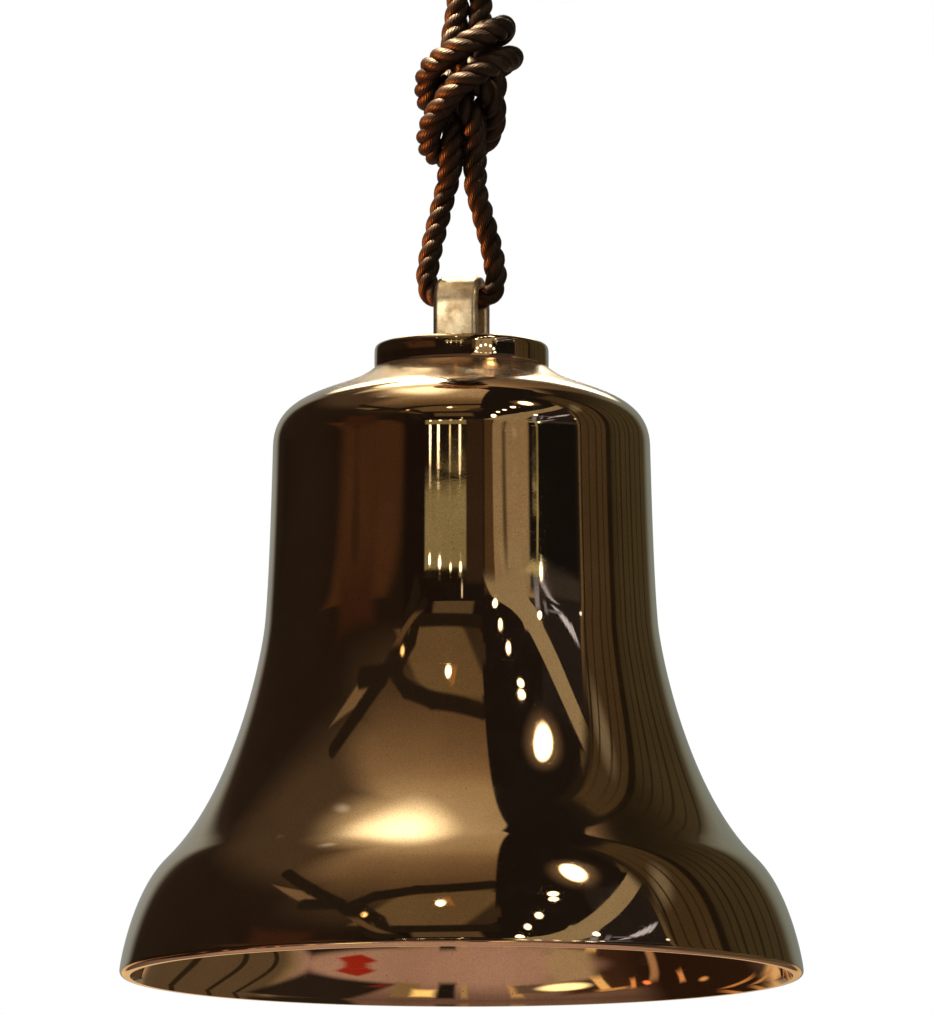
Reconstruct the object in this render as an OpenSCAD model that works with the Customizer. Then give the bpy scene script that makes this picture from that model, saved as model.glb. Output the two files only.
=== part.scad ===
// Ship bell, hung by a knotted rope from a ceiling fitting.
// Heights in the sections below are measured up from the plane of the bell's mouth.
// The finished model is lowered so that its origin lies in the ceiling face, on the axis.

/* [Bell shell] */
// Radius of the mouth
mouth_r = 150; // [147:0.5:153]
// Radius of the lip's lower outer corner
lip_round = 2.4; // [1.5:0.1:3]
// Radius where the flare turns from hollow to round
flare_r = 130; // [127:0.5:133]
// Height of that place
flare_z = 51; // [47:0.5:55]
// Slope of the wall there, from upright
flare_slope = 46; // [42:1:50]
// Radius of the waist
waist_r = 86.5; // [85:0.5:88]
// Height of the waist
waist_z = 156; // [150:0.5:165]
// Slope of the wall at the waist, from upright
waist_slope = 5.2; // [4:0.1:7]
// Radius of the shoulder
shoulder_r = 83.2; // [82:0.1:84]
// Height of the shoulder
shoulder_z = 235; // [233:0.5:238]
// Slope of the wall at the shoulder, from upright
shoulder_slope = 1.5; // [1:0.1:3]
// Height of the crown's flat top
crown_z = 269; // [267:0.5:271]
// Thickness of the waist's wall
waist_wall = 4.6; // [4:0.1:5.5]
// Extra thickness at the sound bow
bow_extra = 4.5; // [3:0.1:6]
// Height of the thickest part of the sound bow
bow_z = 30; // [26:1:34]

/* [Crown] */
// Radius of the disc on the crown
disc_r = 38.5; // [36:0.5:39]
// Thickness of the disc
disc_h = 10.5; // [9:0.5:12]
// Rounding of the disc's upper edge
disc_round = 2.2; // [1:0.1:3]
// Thickness of the washer under the disc
gasket_h = 0.5; // [0.4:0.1:1]
// Width of the loop's strap
strap_w = 20; // [18:0.5:20]
// Thickness of the loop's strap
strap_t = 5; // [4:0.5:5]
// Inner radius of the loop's arch
arch_r = 9.5; // [8:0.5:10]
// Height of the loop above the disc
loop_h = 30.5; // [30:0.5:33]
// Diameter of the stud through the crown
stud_d = 12; // [10:1:12]

/* [Clapper] */
// Height of the clapper's pin
clapper_pin_z = 216; // [214:0.5:217]
// Radius of the clapper's ball
ball_r = 24; // [20:0.5:24]
// Height of the ball's centre
ball_z = 50.5; // [50.5:0.5:56]
// Diameter of the clapper's rod below the eye
rod_d = 10; // [8:0.5:11]
// Diameter of the hole for a bell rope in the clapper's tail
tail_hole_d = 5; // [4:0.5:6]

/* [Rope] */
// Diameter of the rope under load
rope_d = 9.2; // [8:0.1:9.2]
// Distance between the middles of the socket's two holes
socket_pitch = 14; // [13:0.5:16]

/* [Clevises] */
// Diameter of both clevis pins
pin_d = 8; // [7:0.5:8]
// Radial play of a pin in its moving bore
pin_play = 0.05; // [0.02:0.01:0.1]
// Thickness of the tongues between the ears
tongue_t = 10; // [8:0.5:10]
// Thickness of an ear
ear_t = 6; // [5:0.5:7]
// Radius of the ears and tongues round the pin
ear_r = 11; // [10:0.5:11]

/* [Ceiling fitting] */
// Height of the ceiling above the mouth
ceiling_z = 536; // [536:1:540]
// Radius of the ceiling plate
plate_r = 48; // [46:0.5:60]
// Thickness of the plate's flange
flange_h = 5; // [4:0.5:6]
// Radius of the plate's boss
boss_r = 22; // [20:0.5:24]
// Diameter of the circle of screw holes
screw_circle = 72; // [68:0.5:74]
// Number of screw holes
screw_count = 4; // [3:1:6]
// Diameter of a screw hole
screw_d = 5.5; // [4:0.1:6]

/* [Hidden] */
$fn = 96;
bronze = [0.50, 0.37, 0.22];
brass = [0.72, 0.60, 0.36];
steel = [0.62, 0.63, 0.65];
leather = [0.30, 0.19, 0.12];
rope_colour = [0.22, 0.13, 0.09];

// ---- curves ----

// A point reached from p along a wall that slopes outward and down
function along(p, slope, reach) = p + reach * [sin(slope), -cos(slope)];

// A cubic curve from a to d, without its last point
function curve(a, b, c, d, n = 10) = [
    for (i = [0 : n - 1]) let (t = i / n, s = 1 - t)
        s * s * s * a + 3 * s * s * t * b + 3 * s * t * t * c + t * t * t * d
];

// The wall's outer side from a to b, which leave and arrive at their own slopes
function wall_side(a, slope_a, reach_a, b, slope_b, reach_b) =
    curve(a, along(a, slope_a, reach_a), along(b, slope_b, -reach_b), b);

disc_seat = [39, crown_z];
shoulder = [shoulder_r, shoulder_z];
waist = [waist_r, waist_z];
flare = [flare_r, flare_z];
lip = [mouth_r, lip_round];

// How far the wall holds its slope above and below each of these places before it bends
crown_slope = 49.5;
crown_reach = 18.5;
shoulder_reach = [24.5, 18];
waist_reach = [20, 15];
flare_reach = [41.5, 20];
lip_reach = 3;

crown_side = wall_side(disc_seat, crown_slope, crown_reach, shoulder, shoulder_slope, shoulder_reach[0]);
lower_side = concat(
    wall_side(shoulder, shoulder_slope, shoulder_reach[1], waist, waist_slope, waist_reach[0]),
    wall_side(waist, waist_slope, waist_reach[1], flare, flare_slope, flare_reach[0]),
    wall_side(flare, flare_slope, flare_reach[1], lip, 0, lip_reach),
    [lip]
);

bow_span = 20;
function wall_at(z) = waist_wall + bow_extra * exp(-pow((z - bow_z) / bow_span, 2));

// The point straight through the wall from point i of the lower side
function through_wall(i) = let (
        a = lower_side[max(i - 1, 0)],
        b = lower_side[min(i + 1, len(lower_side) - 1)],
        t = (b - a) / norm(b - a)
    ) lower_side[i] + wall_at(lower_side[i][1]) * [t[1], -t[0]];

inner_lower = [for (i = [0 : len(lower_side) - 1]) through_wall(i)];
crown_wall = 8.5;
seat_r = 27;
inner_crown_z = crown_z - crown_wall;
inner_seat = [seat_r, inner_crown_z];
inner_seat_slope = 87;
inner_seat_reach = 17;
inner_reach = 17;
inner_crown = wall_side(
    inner_seat, inner_seat_slope, inner_seat_reach, inner_lower[0], shoulder_slope, inner_reach
);
lip_arc = [
    for (a = [15 : 15 : 90])
        [mouth_r - lip_round + lip_round * cos(a), lip_round - lip_round * sin(a)]
];
inner_lip_corner = 0.6;
lip_inner = [inner_lower[len(inner_lower) - 1][0] + inner_lip_corner, 0];
shell_bore_r = stud_d / 2 + 0.5;

// ---- general shapes ----

module from_ceiling() {
    translate([0, 0, -ceiling_z]) children();
}

module stadium(width, thickness) {
    square([width - thickness, thickness], center = true);
    for (side = [-1, 1])
        translate([side * (width - thickness) / 2, 0]) circle(d = thickness);
}

// A ring standing on z = 0
module ring(outer_r, inner_r, h) {
    difference() {
        cylinder(r = outer_r, h = h);
        translate([0, 0, -1]) cylinder(r = inner_r, h = h + 2);
    }
}

// A hexagon nut standing on z = 0
module hex_nut(across_flats, bore_r, h) {
    difference() {
        cylinder(r = across_flats / 2 / cos(30), h = h, $fn = 6);
        translate([0, 0, -1]) cylinder(r = bore_r, h = h + 2);
    }
}

// A plate in the XZ plane: a round end about the origin and a straight part up to z = top
module lug(r, top, thickness) {
    rotate([90, 0, 0]) translate([0, 0, -thickness / 2]) {
        cylinder(r = r, h = thickness);
        translate([-r, 0, 0]) cube([2 * r, top, thickness]);
    }
}

pin_bore_r = pin_d / 2 + pin_play;
slot_play = 0.4;
slot_w = tongue_t + 2 * slot_play;
fork_w = slot_w + 2 * ear_t;
bridge_z = ear_r + 1;
bridge_h = 13;
fork_hub_r = 14;

// A fork about a pin on the Y axis: two ears and a round bridge over them
module fork() {
    difference() {
        union() {
            for (side = [-1, 1])
                translate([0, side * (slot_w + ear_t) / 2, 0]) lug(ear_r, bridge_z + 1, ear_t);
            translate([0, 0, bridge_z]) cylinder(r = fork_hub_r, h = bridge_h);
        }
        rotate([90, 0, 0]) cylinder(r = pin_bore_r, h = 2 * fork_w, center = true);
    }
}

pin_head_r = 2.5;
pin_head_h = 2.5;
pin_washer_h = 1.2;
pin_tail = 7;
split_d = 2;
split_y = fork_w / 2 + pin_washer_h + 0.2 + split_d;

// A headed pin along Y, drilled for its split pin
module clevis_pin() {
    difference() {
        rotate([-90, 0, 0]) {
            translate([0, 0, -fork_w / 2 - pin_head_h]) cylinder(r = pin_d / 2 + pin_head_r, h = pin_head_h);
            translate([0, 0, -fork_w / 2]) cylinder(d = pin_d, h = fork_w + pin_tail);
        }
        translate([0, split_y, 0]) cylinder(d = split_d + 0.2, h = 2 * pin_d, center = true);
    }
}

module pin_washer() {
    translate([0, fork_w / 2 + 0.1, 0]) rotate([-90, 0, 0])
        ring(pin_d / 2 + 3, pin_d / 2 + 0.1, pin_washer_h);
}

// A split pin through the clevis pin: its shank, its round eye and one bent leg
module split_pin() {
    eye_r = 1.9;
    shank = pin_d + 5;
    translate([0, split_y, 0]) {
        translate([0, 0, -shank / 2]) cylinder(d = split_d, h = shank);
        translate([0, 0, -shank / 2]) rotate([0, 90, 0]) cylinder(d = split_d, h = 4);
        translate([4, 0, -shank / 2]) sphere(d = split_d);
        translate([0, 0, -shank / 2]) sphere(d = split_d);
        translate([0, 0, shank / 2 + eye_r]) rotate([90, 0, 0])
            rotate_extrude() translate([eye_r, 0]) circle(d = split_d * 0.7);
    }
}

// ---- ceiling fitting ----

boss_h = 10;
boss_fillet = 4;
boss_round = 2;
plate_chamfer = 1.5;
plate_h = flange_h + boss_h;
recess_r = 12;
recess_h = 9;
shank_r = 5;
hanger_pin_z = ceiling_z - plate_h - bridge_h - bridge_z;
countersink = 2.8;

module ceiling_plate() {
    color(brass) from_ceiling() difference() {
        union() {
            translate([0, 0, ceiling_z]) rotate([180, 0, 0]) rotate_extrude() polygon(concat(
                [[0, 0], [plate_r, 0], [plate_r, flange_h - plate_chamfer]],
                [[plate_r - plate_chamfer, flange_h]],
                [for (a = [0 : 15 : 90]) [boss_r, flange_h] + boss_fillet * [1 - sin(a), 1 - cos(a)]],
                [for (a = [0 : 15 : 90]) [boss_r, plate_h] + boss_round * [cos(a) - 1, sin(a) - 1]],
                [[0, plate_h]]
            ));
        }
        translate([0, 0, ceiling_z - recess_h]) cylinder(r = recess_r, h = recess_h + 1);
        translate([0, 0, ceiling_z - plate_h - 1]) cylinder(r = shank_r + 0.2, h = plate_h);
        for (i = [0 : screw_count - 1])
            rotate([0, 0, (i + 0.5) * 360 / screw_count]) translate([screw_circle / 2, 0, ceiling_z]) {
                translate([0, 0, -flange_h - 1]) cylinder(d = screw_d, h = flange_h + 2);
                translate([0, 0, -flange_h - 0.01])
                    cylinder(r1 = screw_d / 2 + countersink, r2 = screw_d / 2, h = countersink);
            }
    }
}

module hanger_fork() {
    color(brass) from_ceiling() {
        translate([0, 0, hanger_pin_z]) fork();
        translate([0, 0, ceiling_z - plate_h]) cylinder(r = shank_r, h = plate_h - 1);
    }
}

washer_r = 10;
washer_h = 2;
module hanger_washer() {
    color(steel) from_ceiling() translate([0, 0, ceiling_z - recess_h])
        ring(washer_r, shank_r + 0.2, washer_h);
}

hanger_nut_af = 17;
hanger_nut_h = 6;

module hanger_nut() {
    color(steel) from_ceiling() translate([0, 0, ceiling_z - recess_h + washer_h])
        hex_nut(hanger_nut_af, shank_r, hanger_nut_h);
}

module hanger_pin() {
    color(steel) from_ceiling() translate([0, 0, hanger_pin_z]) clevis_pin();
}

module hanger_pin_washer() {
    color(steel) from_ceiling() translate([0, 0, hanger_pin_z]) pin_washer();
}

module hanger_split_pin() {
    color(steel) from_ceiling() translate([0, 0, hanger_pin_z]) split_pin();
}

// ---- rope and its socket ----

socket_top = hanger_pin_z - ear_r - 1;
socket_h = 26;
socket_z = socket_top - socket_h;
socket_hole_h = 18;
socket_hole_r = rope_d / 2 + 0.1;
socket_t = 18;
socket_w = socket_pitch + socket_t;
grub_d = 5;
grub_z = socket_z + 9;
grub_start = socket_pitch / 2 + socket_hole_r;

module socket_outline() {
    stadium(socket_w, socket_t);
}

module rope_socket() {
    color(brass) from_ceiling() difference() {
        union() {
            translate([0, 0, socket_z]) linear_extrude(socket_h) socket_outline();
            translate([0, 0, hanger_pin_z]) mirror([0, 0, 1]) lug(ear_r, ear_r + 2, tongue_t);
        }
        translate([0, 0, hanger_pin_z]) rotate([90, 0, 0])
            cylinder(r = pin_bore_r, h = socket_t + 2, center = true);
        for (side = [-1, 1]) {
            translate([side * socket_pitch / 2, 0, socket_z - 1])
                cylinder(r = socket_hole_r, h = socket_hole_h + 1);
            translate([side * socket_pitch / 2, 0, grub_z]) rotate([0, side * 90, 0])
                cylinder(d = grub_d, h = socket_w);
        }
    }
}

module socket_screws() {
    color(steel) from_ceiling()
        for (side = [-1, 1])
            translate([side * (grub_start + 0.1), 0, grub_z]) rotate([0, side * 90, 0]) difference() {
                cylinder(d = grub_d, h = 4);
                translate([-0.5, -grub_d, 3]) cube([1, 2 * grub_d, 2]);
            }
}

// The rope's route. Both parts of the knot are given as
// [angle from the front, distance from the knot's axis, height above the knot's middle].
knot_x = 3.5;
knot_z = 394;
knot_turn = 12.5;
knot_left = [
    [270, 5, 44], [270, 6, 30], [290, 8, 21], [330, 9, 12], [15, 10, 4], [60, 11, -4], [100, 11, -12],
    [140, 12, -20], [180, 13, -25], [225, 15, -28], [262, 17, -26], [290, 19, -20], [315, 19, -11],
    [345, 20, -1], [15, 20, 6], [45, 19, 11], [75, 19, 14], [105, 17, 14], [140, 14, 10], [175, 11, 4],
    [210, 8, -2], [245, 6.5, -10], [280, 7, -18], [290, 8, -27], [280, 9, -37]
];
knot_right = [
    [90, 5, 44], [75, 5, 32], [50, 6, 23], [65, 8, 13], [92, 11, 4], [125, 12, -2], [165, 13, -8],
    [205, 17, -10], [240, 19, -6], [270, 19, 1], [295, 19, 8], [325, 19, 12.5], [0, 19, 18.5],
    [35, 17, 24], [70, 16, 27.5], [105, 14, 26], [145, 10, 21], [190, 7, 16], [235, 5, 10], [290, 4, 2],
    [345, 5, -6], [20, 6, -15], [42, 3, -26], [60, 3, -37]
];
// The parts above and below the knot are given as [x, z]; they lie in the plane y = 0.
above_left = [[-7, 475], [-7, 462], [-6, 453], [-4, 446]];
above_right = [[7, 475], [7, 462], [8, 453], [8, 446]];
below = [
    [-7, 350], [-10, 338], [-13, 326], [-15, 316], [-15.5, 308], [-13.3, 302.2], [-7.5, 300.2],
    [0, 300.5], [7.5, 300.2], [13.3, 302.2], [15.5, 308], [14.9, 316], [12.8, 326], [9.6, 338], [6.5, 350]
];

function in_knot(p) = [
    knot_x * cos(knot_turn) + p[1] * sin(p[0] + knot_turn),
    knot_x * sin(knot_turn) - p[1] * cos(p[0] + knot_turn),
    knot_z + p[2]
];
function in_plane(p) = [p[0], 0, p[1]];
function reversed(list) = [for (i = [len(list) - 1 : -1 : 0]) list[i]];

route = concat(
    [for (p = above_left) in_plane(p)], [for (p = knot_left) in_knot(p)],
    [for (p = below) in_plane(p)],
    [for (p = reversed(knot_right)) in_knot(p)], [for (p = reversed(above_right)) in_plane(p)]
);

rope_sides = 8;
last = len(route) - 1;
function unit(v) = v / norm(v);
headings = [for (i = [0 : last]) unit(route[min(i + 1, last)] - route[max(i - 1, 0)])];
// Side directions along the route, each carried on from the one before without twisting
function carried(i, side) = i > last ? [] : let (
        square = unit(side - (side * headings[i]) * headings[i])
    ) concat([square], carried(i + 1, square));
side_dirs = carried(0, [1, 0, 0]);
rings = [
    for (i = [0 : last], k = [0 : rope_sides - 1]) let (a = k * 360 / rope_sides)
        route[i] + rope_d / 2 * (cos(a) * side_dirs[i] + sin(a) * cross(headings[i], side_dirs[i]))
];
function corner(i, k) = i * rope_sides + k % rope_sides;

module rope() {
    color(rope_colour) from_ceiling() polyhedron(rings, concat(
        [for (i = [0 : last - 1], k = [0 : rope_sides - 1])
            [corner(i, k), corner(i + 1, k), corner(i, k + 1)]],
        [for (i = [0 : last - 1], k = [0 : rope_sides - 1])
            [corner(i + 1, k), corner(i + 1, k + 1), corner(i, k + 1)]],
        [[for (k = [0 : rope_sides - 1]) corner(0, k)]],
        [[for (k = [rope_sides - 1 : -1 : 0]) corner(last, k)]]
    ));
}

// ---- crown ----

disc_z = crown_z + gasket_h;
disc_top = disc_z + disc_h;
loop_top = disc_top + loop_h;
foot_depth = 7;
arch_mid_r = arch_r + strap_t / 2;
arch_z = loop_top - strap_t - arch_r;
foot_play = 0.05;

module strap_feet(z, h, play) {
    for (side = [-1, 1])
        translate([0, side * arch_mid_r, z]) linear_extrude(h)
            stadium(strap_w + 2 * play, strap_t + 2 * play);
}

module crown_loop() {
    color(brass) from_ceiling() {
        strap_feet(disc_top - foot_depth, arch_z - disc_top + foot_depth, 0);
        translate([0, 0, arch_z]) rotate([90, 0, 90]) rotate_extrude(angle = 180)
            translate([arch_mid_r, 0]) rotate(90) stadium(strap_w, strap_t);
    }
}

stud_hole_h = 7;
disc_chamfer = 0.5;
module crown_disc() {
    color(bronze) from_ceiling() difference() {
        translate([0, 0, disc_z]) rotate_extrude() polygon(concat(
            [[0, 0], [disc_r - disc_chamfer, 0], [disc_r, disc_chamfer]],
            [for (a = [0 : 15 : 90])
                [disc_r - disc_round + disc_round * cos(a), disc_h - disc_round + disc_round * sin(a)]],
            [[0, disc_h]]
        ));
        strap_feet(disc_top - foot_depth - 0.1, foot_depth + 1, foot_play);
        translate([0, 0, disc_z - 1]) cylinder(d = stud_d, h = stud_hole_h + 1);
    }
}

gasket_inset = 0.7;
module crown_gasket() {
    color(leather) from_ceiling() translate([0, 0, crown_z])
        ring(disc_r - gasket_inset, shell_bore_r, gasket_h);
}

module bell_shell() {
    color(bronze) from_ceiling() rotate_extrude($fn = 180) polygon(concat(
        [[shell_bore_r, crown_z]], crown_side, lower_side, lip_arc,
        [lip_inner], reversed(inner_lower), reversed(inner_crown),
        [[shell_bore_r, inner_crown_z]]
    ));
}

// ---- under the crown ----

inner_gasket_r = 22;
inner_gasket_h = 1.5;
inner_washer_r = 20;
inner_washer_chamfer = 2;
inner_washer_h = 3;
crown_nut_af = 19;
crown_nut_h = 9;
lock_nut_h = 6;
inner_gasket_z = inner_crown_z - inner_gasket_h;
inner_washer_z = inner_gasket_z - inner_washer_h;
crown_nut_z = inner_washer_z - crown_nut_h;
lock_nut_z = clapper_pin_z + bridge_z + bridge_h;
stud_end = clapper_pin_z + bridge_z + 2;

module crown_stud() {
    color(steel) from_ceiling() translate([0, 0, stud_end])
        cylinder(d = stud_d, h = disc_z + stud_hole_h - stud_end);
}

module inner_gasket() {
    color(leather) from_ceiling() translate([0, 0, inner_gasket_z])
        ring(inner_gasket_r, shell_bore_r, inner_gasket_h);
}

module inner_washer() {
    color(brass) from_ceiling() translate([0, 0, inner_washer_z]) difference() {
        cylinder(r1 = inner_washer_r - inner_washer_chamfer, r2 = inner_washer_r, h = inner_washer_h);
        translate([0, 0, -1]) cylinder(r = shell_bore_r, h = inner_washer_h + 2);
    }
}

module crown_nut() {
    color(brass) from_ceiling() translate([0, 0, crown_nut_z]) hex_nut(crown_nut_af, stud_d / 2, crown_nut_h);
}

module lock_nut() {
    color(brass) from_ceiling() translate([0, 0, lock_nut_z]) hex_nut(crown_nut_af, stud_d / 2, lock_nut_h);
}

module at_clapper_pin() {
    from_ceiling() translate([0, 0, clapper_pin_z]) rotate([0, 0, -90]) children();
}

module clapper_fork() {
    color(brass) difference() {
        at_clapper_pin() fork();
        from_ceiling() translate([0, 0, stud_end]) cylinder(d = stud_d, h = crown_z - stud_end);
    }
}

module clapper_pin() {
    color(steel) at_clapper_pin() clevis_pin();
}

module clapper_pin_washer() {
    color(steel) at_clapper_pin() pin_washer();
}

module clapper_split_pin() {
    color(steel) at_clapper_pin() split_pin();
}

// ---- clapper ----

bush_wall = 2;
bush_r = pin_bore_r + bush_wall;
thread_r = 4;
collar_r = 9;
collar_h = 12;
collar_seat = 1.5;
collar_z = ball_z + ball_r - collar_seat;
tail_r = 6.5;
tail_t = 10;
tail_neck_r = 5;
tail_flat_r = 8;
tail_z = ball_z - ball_r - tail_r + 1;
rod_end = ball_z - ball_r - 3;

module clapper_bush() {
    color(brass) from_ceiling() translate([-tongue_t / 2, 0, clapper_pin_z]) rotate([0, 90, 0])
        ring(bush_r, pin_bore_r, tongue_t);
}

module clapper_rod() {
    color(bronze) from_ceiling() difference() {
        union() {
            translate([-tongue_t / 2, 0, clapper_pin_z]) rotate([0, 90, 0])
                cylinder(r = ear_r, h = tongue_t);
            translate([0, 0, collar_z]) cylinder(d = rod_d, h = clapper_pin_z - ear_r + 1 - collar_z);
            translate([0, 0, collar_z]) cylinder(r1 = collar_r, r2 = rod_d / 2, h = collar_h);
            translate([0, 0, rod_end]) cylinder(r = thread_r, h = collar_z - rod_end + 1);
        }
        translate([-tongue_t, 0, clapper_pin_z]) rotate([0, 90, 0]) cylinder(r = bush_r, h = 2 * tongue_t);
    }
}

module clapper_ball() {
    color(bronze) from_ceiling() difference() {
        translate([0, 0, ball_z]) sphere(r = ball_r);
        translate([0, 0, rod_end]) cylinder(r = thread_r, h = 3 * ball_r);
        translate([0, 0, collar_z]) cylinder(r = collar_r + 1, h = ball_r);
        translate([0, 0, ball_z - ball_r - 1]) cylinder(r = tail_flat_r, h = 2);
    }
}

module tail_eye() {
    color(bronze) from_ceiling() difference() {
        union() {
            intersection() {
                translate([0, 0, tail_z]) sphere(r = tail_r);
                translate([0, 0, tail_z]) cube([3 * tail_r, tail_t, 3 * tail_r], center = true);
            }
            translate([0, 0, tail_z]) cylinder(r = tail_neck_r, h = ball_z - ball_r + 1 - tail_z);
        }
        translate([0, 0, rod_end]) cylinder(r = thread_r, h = ball_r);
        translate([0, 0, tail_z - 1]) rotate([90, 0, 0])
            cylinder(d = tail_hole_d, h = 4 * tail_r, center = true);
    }
}

ceiling_plate();
hanger_fork();
hanger_washer();
hanger_nut();
hanger_pin();
hanger_pin_washer();
hanger_split_pin();
rope_socket();
socket_screws();
rope();
crown_loop();
crown_disc();
crown_gasket();
bell_shell();
crown_stud();
inner_gasket();
inner_washer();
crown_nut();
lock_nut();
clapper_fork();
clapper_pin();
clapper_pin_washer();
clapper_split_pin();
clapper_bush();
clapper_rod();
clapper_ball();
tail_eye();
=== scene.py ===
"""A ship's bell on a knotted rope, hung from its ceiling fitting."""
import math

import bpy
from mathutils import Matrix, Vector


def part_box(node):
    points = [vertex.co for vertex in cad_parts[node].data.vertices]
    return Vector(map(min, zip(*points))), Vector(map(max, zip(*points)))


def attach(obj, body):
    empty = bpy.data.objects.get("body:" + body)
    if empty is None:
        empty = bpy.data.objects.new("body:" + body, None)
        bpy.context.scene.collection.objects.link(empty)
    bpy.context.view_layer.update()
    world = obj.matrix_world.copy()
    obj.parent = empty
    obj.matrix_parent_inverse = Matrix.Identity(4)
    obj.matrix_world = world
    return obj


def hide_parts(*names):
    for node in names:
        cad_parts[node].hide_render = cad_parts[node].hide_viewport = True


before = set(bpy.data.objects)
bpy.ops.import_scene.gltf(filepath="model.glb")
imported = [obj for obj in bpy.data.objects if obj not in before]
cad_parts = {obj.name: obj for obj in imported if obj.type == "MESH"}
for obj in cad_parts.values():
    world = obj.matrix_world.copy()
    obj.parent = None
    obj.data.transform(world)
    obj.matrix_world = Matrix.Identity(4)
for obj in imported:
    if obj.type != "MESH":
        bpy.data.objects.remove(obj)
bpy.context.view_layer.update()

MM = 0.001
RIM_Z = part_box("bell_shell")[0].z


def above_rim(x, y, z):
    """A point in metres, from millimetres with the height measured up from the plane of the bell's mouth."""
    return Vector((x * MM, y * MM, RIM_Z + z * MM))


# ---- camera ----

VIEW_SIDE = math.radians(12.5)
VIEW_TILT = math.radians(7.55)
VIEW_DISTANCE = 5.0
VIEW_DROP = 0.455
VIEW_SHIFT = 0.0024
LENS = 405.8


def add_camera():
    """A long lens below the bell, a little to its right."""
    across = Vector((math.cos(VIEW_SIDE), math.sin(VIEW_SIDE), 0))
    back = Vector((math.sin(VIEW_SIDE), -math.cos(VIEW_SIDE), 0))
    data = bpy.data.cameras.new("camera")
    data.lens = LENS
    data.sensor_width = 36
    data.clip_end = 100
    camera = bpy.data.objects.new("camera", data)
    camera.location = back * VIEW_DISTANCE + across * VIEW_SHIFT + Vector((0, 0, RIM_Z - VIEW_DROP))
    camera.rotation_euler = (math.pi / 2 + VIEW_TILT, 0, VIEW_SIDE)
    bpy.context.scene.collection.objects.link(camera)
    bpy.context.scene.camera = camera


# ---- meshes ----

SHARP_EDGE = math.radians(35)


def add_mesh(name, verts, faces, uvs=None):
    """A smooth-shaded mesh object. uvs holds one pair for each corner of each face."""
    mesh = bpy.data.meshes.new(name)
    mesh.from_pydata(verts, [], faces)
    if uvs:
        layer = mesh.uv_layers.new(name="UVMap")
        layer.data.foreach_set("uv", [value for uv in uvs for value in uv])
    mesh.polygons.foreach_set("use_smooth", [True] * len(mesh.polygons))
    mesh.set_sharp_from_angle(angle=SHARP_EDGE)
    mesh.validate()
    mesh.update()
    piece = bpy.data.objects.new(name, mesh)
    bpy.context.scene.collection.objects.link(piece)
    return piece


def lathe(name, outline, segments, closed=True):
    """A solid of revolution about the Z axis. The outline is a list of (radius, height) in millimetres that
    goes round the section, or from pole to pole if it isn't closed. A point on the axis becomes a pole."""
    verts, faces, rows = [], [], []
    for radius, height in outline:
        if radius < 1e-6:
            rows.append([len(verts)] * segments)
            verts.append(above_rim(0, 0, height))
            continue
        rows.append(list(range(len(verts), len(verts) + segments)))
        for i in range(segments):
            turn = 2 * math.pi * i / segments
            verts.append(above_rim(radius * math.cos(turn), radius * math.sin(turn), height))
    pairs = list(zip(rows, rows[1:])) + ([(rows[-1], rows[0])] if closed else [])
    for low, high in pairs:
        for i in range(segments):
            j = (i + 1) % segments
            face = [low[i], high[i], high[j], low[j]]
            face = [v for k, v in enumerate(face) if v not in face[:k]]
            if len(face) > 2:
                faces.append(face)
    return add_mesh(name, verts, faces)


def arc(centre, radius, start, end, steps=10):
    """Points of a round corner in a section, between two angles in degrees."""
    angles = [math.radians(start + (end - start) * i / steps) for i in range(steps + 1)]
    return [(centre[0] + radius * math.cos(a), centre[1] + radius * math.sin(a)) for a in angles]


# ---- rope ----

# The rope's route, in metres. It is part.scad's, but for one turn that lies closer in the heart of the knot.
# Points in the knot are (angle from the front in degrees, distance from the knot's axis, height above the
# knot's middle), and the others are (x, height above the rim).
KNOT_X = 0.0035
KNOT_Z = 0.394
KNOT_TURN = 12.5
KNOT_LEFT = [
    (270, .005, .044), (270, .006, .030), (290, .008, .021), (330, .009, .012), (15, .010, .004),
    (60, .011, -.004), (100, .011, -.012), (140, .012, -.020), (180, .013, -.025), (225, .015, -.028),
    (262, .017, -.026), (290, .019, -.020), (315, .019, -.011), (345, .020, -.001), (15, .020, .006),
    (45, .019, .011), (75, .019, .014), (105, .017, .014), (140, .014, .010), (175, .011, .004),
    (210, .008, -.002), (245, .0065, -.010), (280, .007, -.018), (290, .008, -.027), (280, .009, -.037),
]
KNOT_RIGHT = [
    (90, .005, .044), (75, .005, .032), (50, .006, .023), (65, .008, .013), (92, .011, .004),
    (125, .012, -.002), (165, .013, -.008), (205, .017, -.010), (240, .019, -.006), (270, .019, .001),
    (295, .019, .008), (325, .019, .0125), (0, .019, .0185), (35, .017, .024), (70, .016, .0275),
    (105, .014, .026), (145, .010, .021), (190, .008, .016), (245, .008, .010), (282, .0095, .002),
    (325, .006, -.006), (20, .006, -.015), (42, .003, -.026), (60, .003, -.037),
]
ABOVE_LEFT = [(-.007, .475), (-.007, .462), (-.006, .453), (-.004, .446)]
ABOVE_RIGHT = [(.007, .475), (.007, .462), (.008, .453), (.008, .446)]
BELOW = [
    (-.007, .350), (-.010, .338), (-.013, .326), (-.015, .316), (-.0155, .308), (-.0133, .3022),
    (-.0075, .3002), (0, .3005), (.0075, .3002), (.0133, .3022), (.0155, .308), (.0149, .316),
    (.0128, .326), (.0096, .338), (.0065, .350),
]
ROPE_STEP = 0.0009
# The lay is the length in which a strand goes once round the rope.
ROPE_LAY = 0.0225
STRANDS = 3
STRAND_RADIUS = 0.00265
STRAND_ORBIT = 0.0024
STRAND_SIDES = 14
YARNS = 15
# The rope swells by a share of its thickness in the knot and thins by another round the bell's loop.
KNOT_SWELL = 0.11
KNOT_REACH = 0.034
LOOP_Z = 0.300
LOOP_THINNING = 0.07
LOOP_REACH = 0.006


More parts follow.
